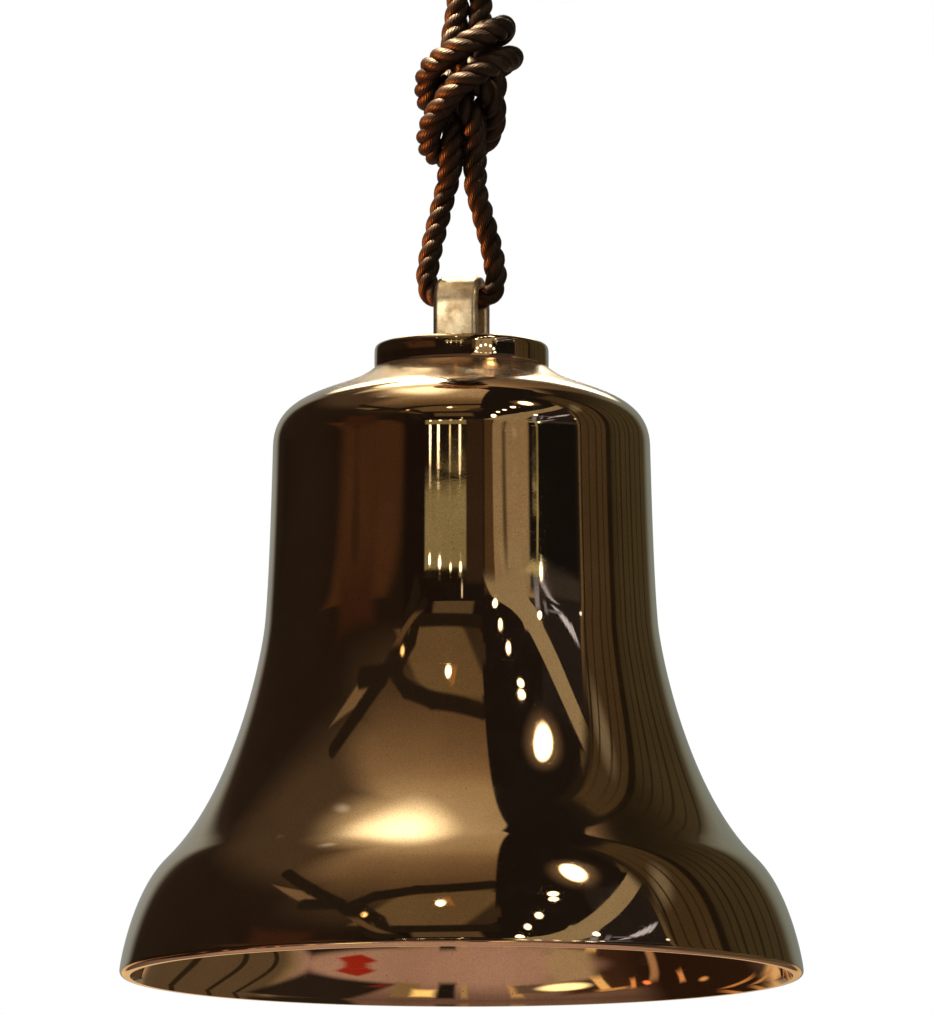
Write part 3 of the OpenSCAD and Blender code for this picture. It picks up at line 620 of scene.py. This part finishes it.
HALL = [
    # one more tan panel, over the ribs
    (-33, 27, 2.2, 3.4, -2.0, 0.3, 0, (0.15, 0.095, 0.05)),
    # a bright window among dark doors, straight ahead
    (-9.5, 12.5, 12.5, 1.25, 0.0, 0.05, 0, (0.34, 0.30, 0.165)),
    (8, 12.5, 5, 2.4, 0.0, 0.2, 0, (0.045, 0.028, 0.018)),
    (17, 12, 3.2, 4, 0.0, 0.2, 0, (0.100, 0.060, 0.030)),
    (0.3, 16.2, 0.4, 1.1, 0.0, 0.5, 0, (1.4, 1.2, 1.0)),
    # the black ceiling on the right
    (48.5, 53, 29.5, 11.5, 0.55, 0.05, 0, (0.016, 0.012, 0.011)),
    (30, 38, 15, 9, 0.1, 0.05, 0, (0.016, 0.012, 0.011)),
    (21, 25, 8, 6.5, 0.0, 0.05, 0, (0.016, 0.012, 0.011)),
    # the pale wall that climbs below it
    (28, 3, 12, 13.2, 0.35, 0.04, 0, (0.37, 0.285, 0.175)),
    (64.5, 24, 15, 16, 0.0, 0.05, 0, (0.024, 0.020, 0.020)),
    (52.5, 30, 6.5, 15.5, 2.1, 0.05, 0, (0.40, 0.33, 0.21)),
    (37.5, 20, 6.8, 7.5, 1.1, 0.05, 0, (0.40, 0.33, 0.21)),
    (84, 44, 7, 4, 0.0, 0.4, 0, (0.34, 0.27, 0.16)),
    (26, 11.6, 1.2, 1.6, 0.5, 0.9, 1, (0.10, 0.07, 0.045)),
    # a dark bay with windows in it
    (59.5, 3, 18, 12.2, 0.0, 0.06, 0, (0.050, 0.044, 0.042)),
    (58.5, 9.3, 17, 3.6, 0.0, 0.08, 0, (0.010, 0.009, 0.009)),
    (53, 15.2, 1.1, 1.1, 3.0, 0.4, 0, (0.70, 0.70, 0.90)),
    (56, 16.0, 0.9, 1.2, 3.0, 0.4, 0, (0.55, 0.57, 0.78)),
    (50.5, 14.6, 0.8, 0.8, 3.0, 0.4, 0, (0.45, 0.45, 0.62)),
    (46, 17.5, 1.4, 3.5, 0.2, 0.5, 0, (0.32, 0.34, 0.46)),
    (51.5, 19.5, 0.9, 2.5, 0.4, 0.5, 0, (0.24, 0.26, 0.38)),
    (59.5, 20.6, 0.8, 2.2, 1.6, 0.4, 0, (0.70, 0.76, 1.05)),
    (62.5, 21.9, 0.8, 2.1, 1.6, 0.4, 0, (0.85, 0.92, 1.25)),
    (65.5, 23.0, 0.8, 2.0, 1.6, 0.4, 0, (0.85, 0.92, 1.25)),
    (68.5, 24.0, 0.8, 1.8, 1.6, 0.4, 0, (0.80, 0.86, 1.20)),
    (71.5, 24.8, 0.8, 1.6, 1.6, 0.4, 0, (0.70, 0.76, 1.05)),
    (58, 21.0, 4.5, 0.5, 3.0, 0.6, 0, (0.20, 0.22, 0.32)),
    (46.6, 11.6, 0.55, 1.1, -0.4, 0.6, 0, (0.42, 0.38, 0.18)),
    (44.5, 13.2, 4.5, 0.35, -7.0, 0.5, 0, (0.62, 0.56, 0.30)),
    (45.5, 11.3, 1.6, 0.06, 0.0, 0.8, 0, (0.50, 0.44, 0.22)),
    (45, 11.0, 1.2, 0.05, 0.0, 0.8, 0, (0.60, 0.52, 0.28)),
    # curtains on the far right
    (113, 22, 37, 40, 0.0, 0.12, 0, (0.034, 0.026, 0.018)),
    (92, 29, 13, 30, 0.10, 0.12, 0, (0.175, 0.120, 0.062)),
    (128, 4, 24, 38, 0.0, 0.35, 0, (0.140, 0.118, 0.060)),
    (88, 38, 5, 6, 0.8, 0.7, 1, (0.60, 0.52, 0.38)),
    (77, 14, 1.0, 16, 0.0, 0.4, 0, (0.21, 0.15, 0.08)),
    (79.2, 22, 0.6, 24, 0.1, 0.5, 0, (0.035, 0.026, 0.016)),
    (91.5, 22, 0.7, 26, 0.1, 0.6, 0, (0.070, 0.048, 0.026)),
    (84.6, 20, 0.45, 30, 0.05, 0.6, 0, (0.060, 0.040, 0.022)),
    (96.5, 20, 0.4, 30, 0.12, 0.6, 0, (0.055, 0.038, 0.022)),
    (103, 20, 2.3, 40, 0.15, 0.4, 0, (0.022, 0.016, 0.010)),
    (109.5, 16, 0.5, 34, 0.16, 0.6, 0, (0.050, 0.040, 0.022)),
    (114.5, 16, 0.8, 34, 0.18, 0.6, 0, (0.045, 0.036, 0.020)),
    (120.5, 14, 0.5, 34, 0.20, 0.6, 0, (0.055, 0.044, 0.024)),
    (126, 14, 0.9, 34, 0.24, 0.6, 0, (0.045, 0.036, 0.020)),
    (133, 14, 0.6, 34, 0.28, 0.6, 0, (0.055, 0.044, 0.024)),
    (141, 14, 0.9, 34, 0.3, 0.6, 0, (0.050, 0.044, 0.028)),
    # pale daylight behind the bell
    (-172, 16, 19, 20, 0.0, 0.3, 0, (0.33, 0.35, 0.33)),
    (170, 16, 19, 20, 0.0, 0.4, 0, (0.24, 0.27, 0.24)),
    # a warm strip below and behind, along the lip
    (-160, -6.5, 24, 3.5, 0.0, 0.5, 0, (0.95, 0.60, 0.28)),
    (160, -6.5, 24, 3.5, 0.0, 0.5, 0, (0.80, 0.50, 0.24)),
    # warm lamps above and behind it, which light the crown
    (-163, 62, 22, 8, 0.0, 0.4, 0, (1.30, 1.15, 0.82)),
    (-168, 55, 9, 4.5, 0.0, 0.8, 1, (14, 12.5, 9)),
    (-172.5, 51, 3.6, 2.2, 0.0, 0.6, 1, (90, 80, 58)),
    (-171, 38, 8, 4, 0.0, 0.8, 1, (9, 8, 6)),
    (172, 29, 7, 4, 0.0, 0.8, 1, (7, 6.3, 5)),
    (176, 32, 1.6, 1.2, 0.0, 0.6, 1, (30, 27, 22)),
    # lamps in front
    (20, 19.8, 1.3, 1.9, 0.0, 0.5, 1, (16, 14, 10)),
    (23.5, 27.2, 1.1, 1.2, 0.0, 0.5, 1, (10, 8.5, 6)),
    (28.5, 31.8, 1.3, 1.0, 0.0, 0.5, 1, (11, 9.5, 7)),
    (36, 37.6, 1.7, 0.65, 0.0, 0.5, 1, (16, 14, 10)),
    (36.6, 39.6, 1.9, 0.75, 0.0, 0.5, 1, (16, 14, 10)),
    (51, 48.5, 7.5, 4.6, 0.0, 1.0, 1, (0.40, 0.28, 0.17)),
    (51, 48.5, 3.4, 2.8, 0.0, 1.0, 1, (42, 36, 26)),
    (48, 23, 1.2, 1.1, 0.0, 0.5, 1, (12, 11, 9)),
    (48.5, 13.3, 0.9, 0.45, 0.0, 0.5, 1, (9, 9, 8)),
    (76, 19.5, 0.8, 0.6, 0.0, 0.5, 1, (3, 3, 3)),
    (-8, 37, 1.6, 1.0, 0.0, 0.5, 1, (12, 10.5, 7.5)),
    (-4.6, 37.8, 1.0, 1.6, -0.6, 0.5, 0, (0.5, 0.22, 0.06)),
    (-36, 31.8, 1.1, 0.8, 0.0, 0.5, 1, (3.5, 2.2, 1.0)),
    (-19, 13.2, 0.6, 0.24, 0.0, 0.5, 1, (10, 9, 7)),
    (-13, 13.4, 0.8, 0.28, 0.0, 0.5, 1, (10, 9, 7)),
    (-6.5, 13.7, 0.6, 0.22, 0.0, 0.5, 1, (8, 7, 5)),
    (-0.6, 13.7, 0.7, 0.24, 0.0, 0.5, 1, (9, 8, 6)),
    (-19, 10.85, 0.6, 0.12, 0.0, 0.5, 1, (9, 8, 6)),
    (-14, 10.85, 0.7, 0.15, 0.0, 0.5, 1, (9, 8, 6)),
    (-7, 10.85, 0.5, 0.14, 0.0, 0.5, 1, (3, 2.6, 1.6)),
    (-1, 10.85, 0.6, 0.20, 0.0, 0.5, 1, (8, 7, 5)),
    # below the horizon, seen only in the bell's inside
    (112, -22, 40, 21, 0.0, 0.1, 0, (0.30, 0.215, 0.13)),
    (100, -22, 1.2, 21, 0.3, 0.4, 0, (0.05, 0.035, 0.025)),
    (86, -26, 1.0, 18, 0.3, 0.4, 0, (0.05, 0.035, 0.025)),
    (122, -18, 1.8, 18, 0.3, 0.4, 0, (0.05, 0.035, 0.025)),
    (56, -28, 20, 11, 0.8, 0.15, 0, (0.030, 0.022, 0.018)),
    (47, -43.2, 5.5, 1.6, 2.0, 0.25, 0, (0.40, 0.03, 0.015)),
    (33, -36.5, 3, 1.4, 2.0, 0.5, 0, (0.22, 0.03, 0.02)),
    (22, -33, 5, 7, 0.0, 0.2, 0, (0.34, 0.24, 0.13)),
    (6, -33, 3.4, 8, 0.0, 0.3, 0, (0.02, 0.015, 0.012)),
    (15, -31, 4, 3.6, 0.0, 0.5, 0, (2.0, 1.5, 0.6)),
    (-1, -33, 1.2, 7, 0.0, 0.5, 0, (0.55, 0.38, 0.18)),
    (-21, -32, 2.2, 6, 0.0, 0.5, 0, (0.75, 0.48, 0.22)),
    (-27, -34, 6, 4, 0.0, 0.3, 0, (0.17, 0.12, 0.09)),
    (-62, -34, 22, 7.5, 0.0, 0.3, 0, (0.07, 0.035, 0.022)),
    (-48, -42.5, 10, 4.6, 0.0, 0.4, 0, (0.50, 0.37, 0.24)),
    (-41, -34, 10, 2.9, 0.0, 0.4, 1, (3.2, 2.8, 1.6)),
    (-57, -33, 2.2, 5.0, 0.0, 0.4, 0, (1.3, 0.85, 0.35)),
    (-60, -28, 6, 1.0, 0.0, 0.6, 0, (0.9, 0.5, 0.2)),
    (-105, -20, 32, 20, 0.0, 0.3, 0, (0.032, 0.016, 0.010)),
    (-70, -30, 1.1, 3.0, 0.5, 0.6, 0, (1.3, 0.55, 0.2)),
    (-93, -27, 1.4, 2.6, 0.5, 0.6, 0, (1.1, 0.5, 0.2)),
    (-102, -22, 2.4, 1.0, 0.0, 0.6, 1, (1.2, 0.6, 0.25)),
    (-84, -34, 2.2, 4.5, 1.0, 0.6, 0, (0.60, 0.34, 0.18)),
    (-76, -29, 1.6, 1.4, 0.0, 0.6, 1, (2.2, 0.6, 0.25)),
    (-118, -12, 10, 0.7, 0.0, 0.6, 0, (0.8, 0.35, 0.12)),
    (-136, -8, 10, 0.7, 0.0, 0.6, 0, (0.7, 0.35, 0.15)),
    # a dark band along the horizon on the left, in the disc's side
    (-75, 2, 62, 7.0, 0.0, 0.1, 0, (0.016, 0.011, 0.008)),
]
# A ring of small lamps at the pale wall's foot, which only the disc below the loop shows.
LAMPS = 12
LAMP_TURNS = [2 * math.pi * i / LAMPS for i in range(LAMPS)]
HALL += [(32 + 13 * math.cos(a), 6.2 + 3.6 * math.sin(a), 1.3, 0.45, 0.0, 0.6, 1, (9, 9, 8))
         for a in LAMP_TURNS]
# Where the curtains hang: a panel without its colour.
CURTAINS = (113, 5, 36, 55, 0.0, 0.1, 0)
CURTAIN_FOLD = (0.02, 0.014, 0.008)
# Overhead, places are (sideways, over, ...) instead: degrees to the right of the camera's own upright
# plane, and degrees up from the horizon behind the camera, past 90 beyond the zenith.
GLOWS = [
    (-12, 93, 30, 26, 0.0, 0.95, 1, (0.42, 0.30, 0.18)),
    (-11, 97, 13, 19, 0.0, 0.95, 1, (0.85, 0.70, 0.46)),
    (-10.7, 98, 6.5, 14, 0.0, 0.95, 1, (3.2, 2.9, 2.2)),
    (-28.5, 91.5, 1.9, 2.2, 0.0, 0.9, 1, (1.3, 1.2, 1.1)),
]
OVERHEAD = [
    (19.8, 70, 10.5, 34, -0.03, 0.04, 0, (0.016, 0.012, 0.011)),
    (24.7, 85, 10, 24, -0.72, 0.06, 0, (0.016, 0.012, 0.011)),
]
# The vault's dark ribs: (side, height) of one end, then of the other.
RIBS = [
    (-27, 16, -36, 30), (-36, 30, -48, 35.2), (-48, 35.2, -62, 39), (-62, 39, -80, 43.5),
    (-42, 34.5, -34, 38.8), (-34, 38.8, -18, 42.2), (-18, 42.2, 13, 44.8), (-47, 35, -62, 33.5),
    (-40, 35, -30, 30), (-30, 30, -22, 19), (-24, 26.0, 12, 26.8),
]
RIB_HALF_WIDTH = 1.9
RIB_SOFT = 0.25
RIB_TONE = (0.024, 0.017, 0.012)
# At the ribs' height, a degree of side is about this much of a degree of height.
SIDE_SHARE = 0.75


def hall_direction(side, height):
    """The direction of a place in the hall, from its degrees."""
    a, up = math.radians(side) + HALL_TURN, math.radians(height)
    return Vector((math.sin(a) * math.cos(up), -math.cos(a) * math.cos(up), math.sin(up)))


def add_world():
    """White for the camera and for soft light. For mirrors, a dim hall with pale panels and lamps."""
    world = bpy.data.worlds.new("hall")
    bpy.context.scene.world = world
    world.use_nodes = True
    t = Tree(world.node_tree)
    t.nodes.clear()
    direction = t.add("TexCoord").outputs["Generated"]
    axes = t.add("SeparateXYZ", direction)
    x, y, z = axes.outputs
    turned = t.math("ARCTAN2", x, t.math("MULTIPLY", y, -1.0))
    side = t.math("SUBTRACT", t.math("DEGREES", turned), math.degrees(HALL_TURN))
    side = t.math("WRAP", side, 180.0, -180.0)
    height = t.math("DEGREES", t.math("ARCSINE", z))
    across = t.add("VectorMath", direction, hall_direction(90, 0), operation="DOT_PRODUCT")
    toward = t.add("VectorMath", direction, hall_direction(0, 0), operation="DOT_PRODUCT")
    sideways = t.math("DEGREES", t.math("ARCSINE", across.outputs["Value"]))
    over = t.math("DEGREES", t.math("ARCTAN2", z, toward.outputs["Value"]))
    around, overhead = (side, height), (sideways, over)
    group = panel_group()

    def share(place, axes):
        """How far a direction is inside a panel."""
        panel = t.nodes.new("ShaderNodeGroup")
        panel.node_tree = group
        for i, value in enumerate((*axes, *place)):
            t.put(panel.inputs[i], value)
        return panel.outputs[0]

    def lay(colour, panels, axes):
        """The colour with a list of panels laid over it."""
        for *place, tint in panels:
            colour = t.mix(share(place, axes), colour, tint)
        return colour

    def rib(ends):
        """How far a direction is inside a straight band between two (side, height) places."""
        x0, y0, x1, y1 = ends
        run, rise = (x1 - x0) * SIDE_SHARE, y1 - y0
        x = t.math("MULTIPLY", t.math("SUBTRACT", side, x0), SIDE_SHARE)
        y = t.math("SUBTRACT", height, y0)
        part = t.math("MULTIPLY_ADD", x, run / (run * run + rise * rise),
                      t.math("MULTIPLY", y, rise / (run * run + rise * rise)))
        part.use_clamp = True
        dx = t.math("MULTIPLY_ADD", part, -run, x)
        dy = t.math("MULTIPLY_ADD", part, -rise, y)
        away = t.math("SQRT", t.math("MULTIPLY_ADD", dx, dx, t.math("MULTIPLY", dy, dy)))
        return t.span(away, RIB_HALF_WIDTH * (1 + RIB_SOFT), RIB_HALF_WIDTH * (1 - RIB_SOFT))

    colour = t.ramp(t.span(height, -90.0, 90.0, smooth=False), TONES).outputs[0]
    colour = lay(colour, GLOWS, overhead)
    colour = lay(colour, VAULT, around)
    for ends in RIBS:
        colour = t.mix(rib(ends), colour, RIB_TONE)
    colour = lay(colour, OVERHEAD, overhead)
    colour = lay(colour, HALL, around)
    drift = t.add("TexNoise", t.math("MULTIPLY", height, 0.05), noise_dimensions="1D", Scale=1.0)
    drape = t.add("TexNoise", t.math("ADD", t.math("MULTIPLY", side, 0.17), drift), noise_dimensions="1D",
                  Scale=1.0, Detail=2.0)
    fold = t.span(t.math("ABSOLUTE", t.math("SUBTRACT", drape, 0.5)), 0.035, 0.0)
    fold = t.math("MULTIPLY", t.math("MULTIPLY", fold, share(CURTAINS, around)), 0.6)
    colour = t.mix(fold, colour, CURTAIN_FOLD)
    seen = t.add("Background", (1, 1, 1, 1), 1.0)
    hall = t.add("Background", colour, 1.0)
    mirrored = t.add("LightPath").outputs["Is Glossy Ray"]
    out = t.nodes.new("ShaderNodeOutputWorld")
    t.put(out.inputs[0], t.add("MixShader", mirrored, seen, hall))


def add_light(name, place, size, power, colour, target, only=None):
    """A soft box aimed at a point. It may light one piece only, and then shows in that piece's gloss."""
    data = bpy.data.lights.new(name, "AREA")
    data.size = size
    data.energy = power
    data.color = colour
    light = bpy.data.objects.new(name, data)
    light.location = place
    light.visible_camera = False
    light.rotation_euler = (Vector(target) - Vector(place)).to_track_quat("-Z", "Y").to_euler()
    bpy.context.scene.collection.objects.link(light)
    if only:
        group = bpy.data.collections.new(name + "_lit")
        group.objects.link(only)
        light.light_linking.receiver_collection = group
    else:
        light.visible_glossy = False


# The lamp that glints on the crown stands where the hall's brightest one is mirrored.
CROWN_LAMP = (-172.5, 51)
CROWN_LAMP_AWAY = 2.5


def add_lights():
    """Soft boxes on the whole, and small warm ones on the rope, on the bell's loop and on its crown."""
    middle = (0, 0, RIM_Z / 2)
    knot = above_rim(0, 0, 390)
    low_knot = above_rim(-10, 0, 370)
    arch = above_rim(0, 0, 300)
    crown = above_rim(0, 0, 256)
    lamp = crown + CROWN_LAMP_AWAY * hall_direction(*CROWN_LAMP)
    add_light("key_light", (-2.2, -3.0, 1.6), 1.6, 60, (1.0, 0.93, 0.84), middle)
    add_light("fill_light", (2.6, -1.6, 0.4), 1.4, 30, (1.0, 0.86, 0.70), middle)
    add_light("rope_top_light", (-0.75, -0.2, 1.5), 0.15, 420, (1.0, 0.74, 0.50), knot, rope)
    add_light("rope_low_light", (-1.5, -0.45, -0.7), 0.12, 85, (1.0, 0.26, 0.05), low_knot, rope)
    add_light("loop_front_light", (-0.9, -2.2, 0.1), 1.0, 0.8, (1.0, 0.88, 0.68), arch, loop)
    add_light("loop_near_light", above_rim(-34, -128, 326), 0.03, 0.02, (1.0, 0.94, 0.82),
              above_rim(-6, -12, 303), loop)
    add_light("crown_light", lamp, 0.14, 12, (1.0, 0.90, 0.70), crown, bell)
    add_light("loop_top_light", (-0.8, -1.2, 1.3), 0.4, 1.5, (1.0, 0.92, 0.80), arch, loop)


# The floor lies well below the bell, so that it can be looked at from below.
FLOOR_DROP = 12.0
FLOOR_HALF = 60


def add_floor():
    """A plain pale floor."""
    height = RIM_Z - FLOOR_DROP
    corners = [(x * FLOOR_HALF, y * FLOOR_HALF, height) for x, y in ((-1, -1), (1, -1), (1, 1), (-1, 1))]
    floor = add_mesh("floor", corners, [(0, 1, 2, 3)])
    made, t, shader = material("floor_paint")
    place = t.add("TexCoord").outputs["Object"]
    cloudy = t.add("TexNoise", place, Scale=3.0, Detail=6.0)
    tone = t.ramp(cloudy, [(0.3, (0.78, 0.77, 0.75)), (0.7, (0.82, 0.81, 0.79))])
    t.put(shader.inputs["Base Color"], tone)
    shader.inputs["Roughness"].default_value = 0.8
    set_material(floor, made)
    floor.visible_glossy = False


# ---- the whole ----

add_camera()
rope = add_rope()
bell = add_bell()
disc = add_disc()
loop = add_loop()

BRONZE = (0.74, 0.55, 0.35)
DARK_BRONZE = (0.30, 0.17, 0.08)
polished = metal("polished_bronze", BRONZE, DARK_BRONZE, 0.02, grain=0.001, wave=0.006, crown_haze=0.2)
satin = metal("satin_bronze", (0.88, 0.72, 0.48), (0.42, 0.27, 0.13), 0.33, smudge=0.2, grain=0.02, wave=0.02,
              tarnish=0.9, patch=130.0)
boss_metal = metal("boss_bronze", BRONZE, DARK_BRONZE, 0.03, wave=0.004)
set_material(bell, polished)
set_material(disc, boss_metal)
set_material(loop, satin)
set_material(rope, rope_material())

brass = metal("brass_fitting", (0.83, 0.62, 0.32), (0.38, 0.25, 0.10), 0.20, smudge=0.15, grain=0.15)
steel = metal("steel", (0.60, 0.60, 0.61), (0.28, 0.27, 0.26), 0.24, smudge=0.15, grain=0.1)
clapper_metal = metal("clapper_bronze", (0.60, 0.42, 0.24), (0.24, 0.14, 0.07), 0.3, smudge=0.2, grain=0.3)
leather = leather_material()
LOOKS = {
    brass: ("ceiling_plate", "hanger_fork", "rope_socket", "inner_washer", "crown_nut", "lock_nut",
            "clapper_fork", "clapper_bush"),
    steel: ("hanger_washer", "hanger_nut", "hanger_pin", "hanger_pin_washer", "hanger_split_pin",
            "socket_screws", "crown_stud", "clapper_pin", "clapper_pin_washer", "clapper_split_pin"),
    clapper_metal: ("clapper_rod", "clapper_ball", "tail_eye"),
    leather: ("crown_gasket", "inner_gasket"),
}
for made, names in LOOKS.items():
    for name in names:
        set_material(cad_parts[name], made)

add_world()
add_lights()
add_floor()
bpy.context.scene.view_settings.view_transform = "Standard"
